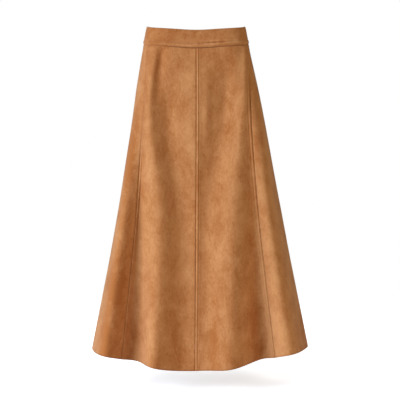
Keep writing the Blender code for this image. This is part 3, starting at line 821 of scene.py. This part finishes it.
def band(angle, height):
    """The waistband's plain face: an oval that narrows evenly to the top edge."""
    t = height / BAND_HEIGHT
    xy = waist_oval(angle, *(low + (high - low) * t for low, high in zip(SEAM_OVAL, TOP_OVAL)))
    seam = -BAND_HEIGHT / 2 - waist_dip(xy, SEAM_FRONT_DIP, SEAM_BACK_DIP)
    top = BAND_HEIGHT / 2 - waist_dip(xy, TOP_FRONT_DIP, TOP_BACK_DIP)
    return np.concatenate([xy, (seam + (top - seam) * t)[..., None]], -1)


def band_face(angle, height):
    """Points and outward normals on the waistband's plain face."""
    turn = NEAR / SEAM_FRONT_DEPTH
    across = band(angle + turn, height) - band(angle - turn, height)
    below = band(angle, height - NEAR) - band(angle, height + NEAR)
    return band(angle, height), outward(below, across)


def band_relief(angle, height):
    """The band's profile with slow waves along its top half and small drawn-up puckers at the
    topstitching, which are stronger towards the wearer's left, and the painted shade in its
    grooves."""
    table = np.array(BAND_PROFILE)[::-1]
    out = np.interp(height * 1000, table[:, 0], table[:, 1]) / 1000
    groove_shade = np.interp(height * 1000, table[:, 0], table[:, 2])
    along = angle * SEAM_FRONT_DEPTH
    slow = np.sin(along * 41 + 1.3) + 0.6 * np.sin(along * 97 + 0.4)
    out = out + BAND_WAVE * slow * bump(height - BAND_WAVE_HEIGHT, BAND_WAVE_REACH)
    drawn = np.sin(2 * math.pi * along / BAND_PUCKER_SPACING + 1.9 * np.sin(29 * along))
    strength = BAND_PUCKER * (0.6 + 1.1 * bump(angle - 0.6, 0.45))
    out = out + strength * drawn * bump(height - BAND_STITCH_HEIGHT, BAND_PUCKER_REACH)
    return out, groove_shade * waist_seam_shade(angle)


def band_folds(angle, height, column):
    """The sum over the band's folds of one of their columns, fading out at a fold's ends and
    2.2 mm above and below its path."""
    out = np.zeros(angle.shape)
    for start, end, low, high, *values in BAND_FOLDS:
        t = np.clip((angle - start) / (end - start), 0, 1)
        path = (low + (high - low) * t) / 1000
        out += values[column] * np.sin(math.pi * t) ** 0.7 * bump(height - path, BAND_FOLD_REACH)
    return out


def make_band(name, start, end, gaps, width):
    """One length of the waistband between two bearings in degrees, its ends rolled in."""
    edge = np.radians([start, end]).astype(float)
    radius = np.linalg.norm(band(edge, np.zeros(2))[:, :2], axis=1)
    edge += np.array([gaps[0], -gaps[1]]) / radius
    angle = np.linspace(*edge, int(round((end - start) / BAND_STEP)) + 1)[None]
    angle, height = np.broadcast_arrays(angle, np.array(BAND_PROFILE)[:, 0, None] / 1000)
    face, normal = band_face(angle, height)
    out, groove_shade = band_relief(angle, height)
    out = out + band_folds(angle, height, 0) / 1000
    inner_out = np.minimum(out - CLOTH, -(BAND_WALL - BAND_PROUD))
    uv = np.stack([angle * SEAM_FRONT_DEPTH + BAND_UV_START, height], -1)
    # The band's painted shade near one bearing, and painted highlights and shade on its folds.
    nap_and_painted_light = BAND_PAINTED_SHADE * bump(angle - BAND_SHADE_AT, BAND_SHADE_REACH) + band_folds(angle, height, 1)
    add_shell(name, face + normal * out[..., None], face + normal * inner_out[..., None],
              groove_shade, uv, nap_and_painted_light, flat=(width, BAND_HEIGHT))


for row in BANDS:
    make_band(*row)


# ------------------------------------------------------------------ the topstitching
# Polyester thread in the cloth's colour, one row of lockstitches down each ribbed seam and
# one round the waistband.  Each stitch is a short length that dips into the cloth at its ends.

THREAD_COLOURS = ((0.40, 0.165, 0.062, 1), (0.52, 0.24, 0.10, 1))
THREAD_RADIUS = 0.00027
STITCH_LENGTH, STITCH_SPACING, STITCH_SIDES = 0.0029, 0.0035, 6
ROW_ENDS = (0.003, 0.002)             # a row starts and stops short of a gore's ends
OVAL_GIRTH = 1.15                     # the waist's oval beside a circle of its front depth
STITCH_PROFILE = (
    # share of the length, share of the radius, height in radii
    (-0.50, 0.35, -1.6), (-0.38, 0.9, -0.4), (-0.15, 1.0, 0.35), (0.15, 1.0, 0.35),
    (0.38, 0.9, -0.4), (0.50, 0.35, -1.6),
)


def small_finish(name, colours, grain, detail, roughness, relief, sheen=0.0, stretch=(1, 1, 1)):
    """A thread's or a small part's finish: two colours mixed by a noise as fine as its grain
    per metre, which also roughens it as a bump.  Returns the material, tree and shader."""
    made, tree, shader = new_finish(name, {"Roughness": roughness, "Sheen Weight": sheen})
    place = node(tree, "TexCoord")
    run = node(tree, "Mapping", {"Scale": stretch})
    speckle = node(tree, "TexNoise", {"Scale": grain, "Detail": detail})
    colour = node(tree, "Mix", {"A": colours[0], "B": colours[1]}, data_type="RGBA")
    bumps = node(tree, "Bump", {"Strength": relief, "Distance": 0.0002})
    wire(tree, (place, "Object", run, "Vector"), (run, 0, speckle, "Vector"),
         (speckle, "Fac", colour, "Factor"), (speckle, "Fac", bumps, "Height"),
         (colour, "Result", shader, "Base Color"), (bumps, 0, shader, "Normal"))
    return made, tree, shader


def ring_faces(index):
    """Quads between rows of points that are each closed on themselves."""
    a, b = index[..., :-1, :], index[..., 1:, :]
    return np.stack([a, np.roll(a, -1, -1), np.roll(b, -1, -1), b], -1).reshape(-1, 4)


THREAD, *_ = small_finish("thread", THREAD_COLOURS, 900.0, 2.0, 0.55, 0.4, sheen=0.3)


def sew(name, centre, out):
    """One mesh of stitches from rows of centres and normals: rings of points round each
    stitch's length, its radius and height from the profile, with both ends closed."""
    way = unit(np.gradient(centre, axis=0))
    side = unit(np.cross(way, out))
    along, wide, lift = np.array(STITCH_PROFILE).T
    turn = full_turn(STITCH_SIDES)[:, None]
    middle = (centre[:, None] + way[:, None] * (along * STITCH_LENGTH)[:, None]
              + out[:, None] * (lift * THREAD_RADIUS)[:, None])
    ring = np.cos(turn) * side[:, None, None] + np.sin(turn) * out[:, None, None]
    points = middle[:, :, None] + ring * (wide * THREAD_RADIUS)[:, None, None]
    index = np.arange(points.size // 3).reshape(points.shape[:3])
    piece = add_mesh(name, points, (ring_faces(index)[:, ::-1], index[:, 0], index[:, -1, ::-1]),
                     (THREAD,))
    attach(piece, "skirt")


for name, gore, ribs, *_ in GORES:
    for edge, end in enumerate(("start", "end")):
        if ribs[edge]:
            down = np.arange(ROW_ENDS[0], SKIRT_LENGTH - ROW_ENDS[1], STITCH_SPACING)
            offset = STITCH_FROM_SEAM * (1 - 2 * edge)
            place, normal, _ = dressed(gore, ribs, np.array([edge]), np.array([offset]), down)
            sew("topstitching_%s_%s" % (name, end), place[:, 0], normal[:, 0])

for name, start, end, *_ in BANDS:
    girth = np.radians(end - start) * SEAM_FRONT_DEPTH * OVAL_GIRTH
    angle = np.radians(np.linspace(start, end, int(girth / STITCH_SPACING))[1:-1])
    height = np.full(angle.shape, BAND_STITCH_HEIGHT)
    face, normal = band_face(angle, height)
    out, _ = band_relief(angle, height)
    sew("topstitching_" + name, face + normal * out[:, None], normal)


# ------------------------------------------------------------------ the zip
# A concealed zip closes the centre back from the top of the waistband to the hip: a nylon
# coil on two woven polyester tapes, sewn behind the seam.  A bridge on its enamelled slider
# reaches out between the waistband's ends, and only the pull on it hangs outside.

ZIP_LEVEL = 0.122                     # its lower end, below the waist seam
ZIP_STEP = (0.001, 0.019)             # where it moves out from the waistband to the gores
TAPE_BEHIND, TAPE_THICK = 0.0003, 0.0006      # its clearance behind the cloth, its thickness
TAPE_THREADS, TAPE_ZIGZAG = 0.0007, 0.003     # two threads' width, the height of a slant
COIL_THICK, COIL_HALF, COIL_LAP = 0.0020, 0.00205, 0.0006
COIL_PITCH, FILAMENT = 0.0013, 0.00030
COIL_TURN_POINTS, FILAMENT_SIDES = 12, 5
SLIDER_HEIGHT, SLIDER_DROP = 0.0100, 0.0085
SLIDER_HALF_WIDTH, SLIDER_DEPTH = 0.0040, 0.0036
BRIDGE_SPAN, BRIDGE_OUT = 0.0014, 0.0014      # from the hinge, to its middle line
BRIDGE_HALF_WIDTH, BRIDGE_HALF_THICK = 0.0006, 0.0004
PIN_OUT = 0.0011
TAPE_COLOURS = ((0.20, 0.088, 0.040, 1), (0.12, 0.052, 0.024, 1))
COIL_COLOURS = ((0.19, 0.085, 0.040, 1), (0.13, 0.058, 0.028, 1))
ENAMEL_COLOURS = ((0.40, 0.185, 0.080, 1), (0.30, 0.135, 0.055, 1))
BARE_ZINC = (0.62, 0.56, 0.47, 1)
CORNER = 5                            # how square the slider and the slot are: |x|**5 + |y|**5
SLIDER_PROFILE = (
    # level, draw: from the slider's bottom (-1) to its top (1), how full its section is
    (-1.0, -1.0, -0.93, -0.8, -0.4, 0.0, 0.4, 0.75, 0.93, 1.0, 1.0),
    (0.3, 0.86, 0.96, 1.0, 1.0, 1.0, 1.0, 1.0, 0.96, 0.86, 0.3),
)
SLIDER_FLARE = ((-1, 0, 0.6, 1), (0.80, 0.84, 1.0, 0.97))     # wider at its shoulders
SLIDER_SIDES, BRIDGE_SIDES, BRIDGE_CORNER = 32, 10, 0.0007
SLIDER_WEAR, BRIDGE_WEAR = 1.3, 0.85

# The pull's outline: height from the hinge and half width there, in millimetres.
PULL = ((0.6, 1.9), (-0.6, 2.2), (-3.0, 2.3), (-5.0, 2.3), (-9.0, 2.7), (-14.0, 3.3),
        (-18.0, 3.6), (-21.0, 3.2), (-23.0, 2.2), (-24.0, 1.0))
PULL_HALF_THICK = 0.0006
PULL_SLOT = ((-0.6, -3.0), 1.0)       # its top and bottom, and its half width, in millimetres
PULL_POINTS = 72
PULL_SECTION = (
    # share of the way from slot to edge, inset in mm there, share of the half thickness, wear
    (0.0, 0.00, 0.0, 0.3), (0.0, 0.00, 0.7, 0.6), (0.0, 0.18, 1.0, 0.9), (0.0, 0.40, 1.0, 0.3),
    (0.0, 0.55, 0.8, 0.0), (0.5, 0.00, 0.76, 0.0), (1.0, -0.75, 0.8, 0.0), (1.0, -0.60, 1.0, 0.3),
    (1.0, -0.25, 1.0, 0.8), (1.0, -0.07, 0.75, 1.0), (1.0, 0.00, 0.35, 0.7),
)


def woven_tape():
    """Herringbone tape: threads 0.35 mm wide run up it and slant to and fro, 3 mm a way, as
    bands of wave = sin(x + zigzag of z)."""
    made, tree, shader = small_finish("woven_tape", TAPE_COLOURS, 2600.0, 3.0, 0.85, 0.3,
                                      sheen=0.2, stretch=(1, 1, 0.2))
    place = node(tree, "TexCoord")
    axes = node(tree, "SeparateXYZ")
    zigzag = node(tree, "Math", {1: TAPE_ZIGZAG}, operation="PINGPONG")
    slant = node(tree, "Math", operation="ADD")
    count = node(tree, "Math", {1: 2 * math.pi / TAPE_THREADS}, operation="MULTIPLY")
    wave = node(tree, "Math", operation="SINE")
    weave = node(tree, "Bump", {"Strength": 0.8, "Distance": 0.0003})
    wire(tree, (place, "Object", axes, 0), (axes, "Z", zigzag, 0), (zigzag, 0, slant, 0),
         (axes, "X", slant, 1), (slant, 0, count, 0), (count, 0, wave, 0),
         (wave, 0, weave, "Height"))
    tree.links.new(shader.inputs["Normal"].links[0].from_socket, weave.inputs["Normal"])
    wire(tree, (weave, 0, shader, "Normal"))
    return made


def enamelled_zinc():
    """Die-cast zinc under brown enamel, worn to the metal where the attribute "wear" is high
    and a noise lets it through."""
    made, tree, shader = small_finish("enamelled_zinc", ENAMEL_COLOURS, 900.0, 3.0, 0.34, 0.12)
    wear = node(tree, "Attribute", attribute_name="wear")
    place = node(tree, "TexCoord")
    chips = node(tree, "TexNoise", {"Scale": 1400.0, "Detail": 3.0})
    both = node(tree, "Math", operation="MULTIPLY")
    mask = node(tree, "MapRange", {"From Min": 0.44, "From Max": 0.56})
    coat = node(tree, "Mix", {"B": BARE_ZINC}, data_type="RGBA")
    tree.links.new(shader.inputs["Base Color"].links[0].from_socket, coat.inputs["A"])
    wire(tree, (place, "Object", chips, "Vector"), (wear, "Fac", both, 0), (chips, "Fac", both, 1),
         (both, 0, mask, "Value"), (mask, 0, coat, "Factor"),
         (coat, "Result", shader, "Base Color"), (mask, 0, shader, "Metallic"))
    return made


WOVEN_TAPE = woven_tape()
COIL_NYLON, *_ = small_finish("coil_nylon", COIL_COLOURS, 1500.0, 3.0, 0.4, 0.1)
ENAMELLED_ZINC = enamelled_zinc()

for side in ("left", "right"):
    frame["nodes"]["zip_tape_" + side].data.materials.clear()
    frame["nodes"]["zip_tape_" + side].data.materials.append(WOVEN_TAPE)


def tube(path, side, up, wide, high, sides):
    """Points and faces of a closed-ended tube: an ellipse carried along a path."""
    turn = full_turn(sides)[None, :, None]
    points = (path[:, None] + np.cos(turn) * side[:, None] * wide
              + np.sin(turn) * up[:, None] * high)
    index = np.arange(len(path) * sides).reshape(len(path), sides)
    return points, (ring_faces(index), index[:1, ::-1], index[-1:])


def make_coil(side):
    """Half of the coil, on the wearer's left (side 1) or right (-1): a filament wound in flat
    turns down the back of the zip.  x = half width * cos, depth = half depth * sin of the
    turn, and both halves lap at the middle, half a turn apart."""
    top = -BAND_HEIGHT + SLIDER_DROP + SLIDER_HEIGHT / 2 + 0.001
    turns = (ZIP_LEVEL - top) / COIL_PITCH
    down = np.linspace(top, ZIP_LEVEL, int(turns * COIL_TURN_POINTS))
    turn = 2 * math.pi * (down - top) / COIL_PITCH + (math.pi if side > 0 else 0)
    on_band = down < 0
    face, normal = band_face(np.full(on_band.sum(), math.pi), -down[on_band])
    lower, lower_normal = plain_face(CENTRE_BACK, np.zeros(1), np.zeros(1), down[~on_band])
    face = np.concatenate([face, lower[:, 0]])
    normal = np.concatenate([normal, lower_normal[:, 0]])
    wall = np.interp(down, ZIP_STEP, (BAND_WALL - BAND_PROUD, CLOTH))
    behind = wall + 2 * TAPE_BEHIND + TAPE_THICK + COIL_THICK / 2
    half = (COIL_HALF + COIL_LAP) / 2
    x = side * (half - COIL_LAP / 2 + (half - FILAMENT) * np.cos(turn))
    deep = behind + (COIL_THICK / 2 - FILAMENT) * np.sin(turn)
    path = face - normal * deep[:, None] + np.array([1, 0, 0]) * x[:, None]
    way = unit(np.gradient(path, axis=0))
    across = unit(np.cross(way, normal + 0.01))
    points, faces = tube(path, across, np.cross(across, way), FILAMENT, FILAMENT, FILAMENT_SIDES)
    piece = add_mesh("coil_" + ("left" if side > 0 else "right"), points, faces, (COIL_NYLON,))
    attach(piece, "skirt")
    if side > 0:
        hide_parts("zip_coil")


make_coil(1)
make_coil(-1)

hinge = np.array(frame["joints"][0]["pos_m"])
_, band_out = band_face(np.array(math.pi), np.array(BAND_HEIGHT - SLIDER_DROP))
lean = math.atan2(band_out[2], band_out[1])


def seated(points):
    """Points about the hinge, leaned back with the waistband and moved to their place."""
    y = points[..., 1] * math.cos(lean) - points[..., 2] * math.sin(lean)
    z = points[..., 1] * math.sin(lean) + points[..., 2] * math.cos(lean)
    return np.stack([points[..., 0], y, z], -1) + hinge


def make_slider():
    """The slider inside the zip: rounded sections, wider at its shoulders, |x / half| ** 5 +
    |y / half| ** 5 = 1, drawn in at both ends; and the bridge, a flat bar bent to a staple."""
    front = -PIN_OUT - BAND_WALL - 2 * TAPE_BEHIND - TAPE_THICK
    level, draw = np.array(SLIDER_PROFILE)
    flare = np.interp(level, *SLIDER_FLARE)
    turn = full_turn(SLIDER_SIDES)[None]
    radius = (np.abs(np.cos(turn)) ** CORNER + np.abs(np.sin(turn)) ** CORNER) ** (-1 / CORNER)
    x = (draw * flare)[:, None] * SLIDER_HALF_WIDTH * radius * np.cos(turn)
    y = front + SLIDER_DEPTH / 2 * (draw[:, None] * radius * np.sin(turn) - 1)
    body = np.stack([x, y, np.broadcast_to(level[:, None] * SLIDER_HEIGHT / 2, x.shape)], -1)
    index = np.arange(x.size).reshape(x.shape)

    bend = np.linspace(0, math.pi / 2, 6)
    out = np.concatenate([[front - 0.001, front],
                          BRIDGE_OUT - BRIDGE_CORNER + BRIDGE_CORNER * np.sin(bend)])
    high = np.concatenate([[0, 0], BRIDGE_CORNER - BRIDGE_CORNER * np.cos(bend)]) - BRIDGE_SPAN
    path = np.stack([np.zeros(16), np.concatenate([out, out[::-1]]),
                     np.concatenate([high, -high[::-1]])], -1)
    across = np.tile([1.0, 0, 0], (16, 1))
    points, faces = tube(path, across, np.cross(unit(np.gradient(path, axis=0)), across),
                         BRIDGE_HALF_WIDTH, BRIDGE_HALF_THICK, BRIDGE_SIDES)
    everything = np.concatenate([body.reshape(-1, 3), points.reshape(-1, 3)])
    wear = np.concatenate([np.repeat(SLIDER_WEAR * (draw < 1), SLIDER_SIDES),
                           np.full(points.size // 3, BRIDGE_WEAR)])
    piece = add_mesh("slider", seated(everything),
                     (ring_faces(index), index[:1, ::-1], index[-1:],
                      *(group + x.size for group in faces)),
                     (ENAMELLED_ZINC,), attributes={"wear": wear})
    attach(piece, "skirt")
    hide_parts("zip_slider")


def cross(p, q):
    """The cross product of rows of flat vectors."""
    return p[..., 0] * q[..., 1] - p[..., 1] * q[..., 0]


def make_pull():
    """The pull: a ring of sections from its slot to its edge.  Bearings from the slot's middle
    meet both outlines, and each section point lies a share of the way between them."""
    (slot_top, slot_bottom), slot_half = PULL_SLOT
    middle, half_slot = (slot_top + slot_bottom) / 2, (slot_top - slot_bottom) / 2
    turn = full_turn(PULL_POINTS)
    heading = np.stack([np.sin(turn), np.cos(turn)], -1)
    slot = (np.abs(heading / [slot_half, half_slot]) ** CORNER).sum(1) ** (-1 / CORNER)
    height, half = np.array(PULL).T
    start = np.concatenate([np.stack([half, height - middle], -1),
                            np.stack([-half, height - middle], -1)[::-1]])
    side = np.roll(start, -1, 0) - start
    wide = cross(heading[:, None], side)
    wide = np.where(wide == 0, 1e-9, wide)
    reach = cross(start, side) / wide
    along = cross(start, heading[:, None]) / wide
    hit = (reach > 0) & (along >= 0) & (along <= 1)
    edge = np.where(hit, reach, np.inf).min(1)
    front = np.array(PULL_SECTION)
    section = np.concatenate([front, front[:0:-1] * [1, 1, -1, 1]])
    share, inset, deep, wear = section.T[:, :, None]
    radius = slot + (edge - slot) * share + inset
    deep, wear = (np.broadcast_to(values, radius.shape) for values in
                  (deep * PULL_HALF_THICK * 1000, wear))
    points = np.stack([radius * heading[:, 0], deep, radius * heading[:, 1] + middle], -1) / 1000
    index = np.arange(radius.size).reshape(radius.shape)
    after = np.roll(index, -1, 0)
    quads = np.stack([index, after, np.roll(after, -1, 1), np.roll(index, -1, 1)], -1)
    piece = add_mesh("pull", seated(points), (quads.reshape(-1, 4),), (ENAMELLED_ZINC,),
                     attributes={"wear": wear})
    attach(piece, "pull")
    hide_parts("zip_pull")


make_slider()
make_pull()
